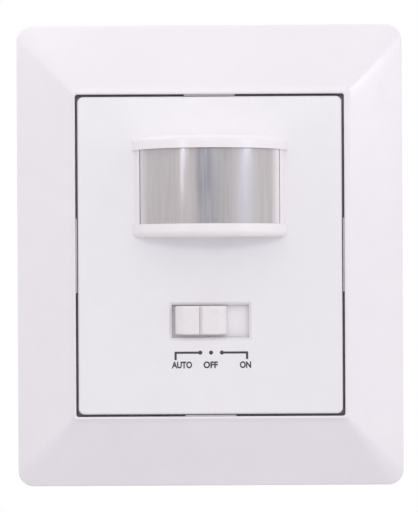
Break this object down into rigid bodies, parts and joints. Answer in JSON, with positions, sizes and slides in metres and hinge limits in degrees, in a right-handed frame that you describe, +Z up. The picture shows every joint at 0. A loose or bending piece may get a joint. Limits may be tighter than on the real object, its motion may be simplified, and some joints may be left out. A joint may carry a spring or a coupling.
{
  "type": "motion sensor light switch",
  "caption": "Flush wall light switch with a curved infrared motion sensor lens under a hood, a bevelled surround and a three-position slider for auto, off and on.",
  "frame": {"origin": "middle of the two box screw slots, on the wall plane at the back of the bracket", "axes": "+Y into the wall along the box screws, +Z up along the long side, the front faces -Y"},
  "size_m": [0.08, 0.047, 0.0956],
  "materials": {
    "frame_plastic": "satin moulded",
    "plate_plastic": "satin moulded",
    "knob_plastic": "satin moulded",
    "lens_plastic": "translucent moulded",
    "chassis_plastic": "moulded",
    "housing_plastic": "moulded",
    "bracket_steel": "zinc plated",
    "screw_steel": "zinc plated",
    "circuit_board": "solder mask",
    "sensor_can": "nickel plated",
    "sensor_window": "coated filter",
    "black_plastic": "moulded",
    "holder_plastic": "moulded",
    "led_red": "cast resin",
    "light_sensor_resin": "cast resin",
    "switch_steel": "tin plated",
    "phenolic": "moulded",
    "trimmer_blue": "moulded",
    "rotor_white": "moulded",
    "relay_blue": "moulded",
    "film_yellow": "cast case",
    "capacitor_sleeve": "shrink sleeve",
    "varistor_epoxy": "epoxy coated",
    "fuse_brass": "nickel plated caps",
    "resistor_coat": "lacquered",
    "terminal_plastic": "moulded",
    "clamp_brass": "plain"
  },
  "bodies": {
    "housing": {"outer_frame": "frame_plastic", "front_plate": "plate_plastic", "fresnel_lens": "lens_plastic", "lens_retainer": "holder_plastic", "front_chassis": "chassis_plastic", "mounting_bracket": "bracket_steel", "rear_housing": "housing_plastic", "housing_screws": "screw_steel", "sensor_board": "circuit_board", "power_board": "circuit_board", "board_connector": "black_plastic", "sensor_holder": "holder_plastic", "pir_sensor_base": "sensor_can", "pir_sensor_can": "sensor_can", "pir_window": "sensor_window", "indicator_led": "led_red", "light_sensor": "light_sensor_resin", "detector_chip": "black_plastic", "slide_switch_shell": "switch_steel", "slide_switch_base": "phenolic", "lux_trimmer_body": "trimmer_blue", "time_trimmer_body": "trimmer_blue", "relay": "relay_blue", "film_capacitor": "film_yellow", "reservoir_capacitor": "capacitor_sleeve", "varistor": "varistor_epoxy", "fuse": "fuse_brass", "power_resistor": "resistor_coat", "rectifier_diodes": "black_plastic", "terminal_block": "terminal_plastic", "terminal_clamps": "clamp_brass", "terminal_screws": "screw_steel"},
    "slider": {"slider_knob": "knob_plastic", "slide_switch_actuator": "black_plastic"},
    "lux_dial": {"lux_trimmer_rotor": "rotor_white"},
    "time_dial": {"time_trimmer_rotor": "rotor_white"}
  },
  "joints": [
    {"name": "mode_slide", "type": "slide", "parent": "housing", "child": "slider", "axis": [1, 0, 0], "range_m": [0, 0.004]},
    {"name": "lux_turn", "type": "hinge", "parent": "housing", "child": "lux_dial", "pos_m": [-0.0145, -0.0035, -0.003], "axis": [0, -1, 0], "range_deg": [-135, 135]},
    {"name": "time_turn", "type": "hinge", "parent": "housing", "child": "time_dial", "pos_m": [0.0145, -0.0035, -0.003], "axis": [0, -1, 0], "range_deg": [-135, 135]}
  ]
}
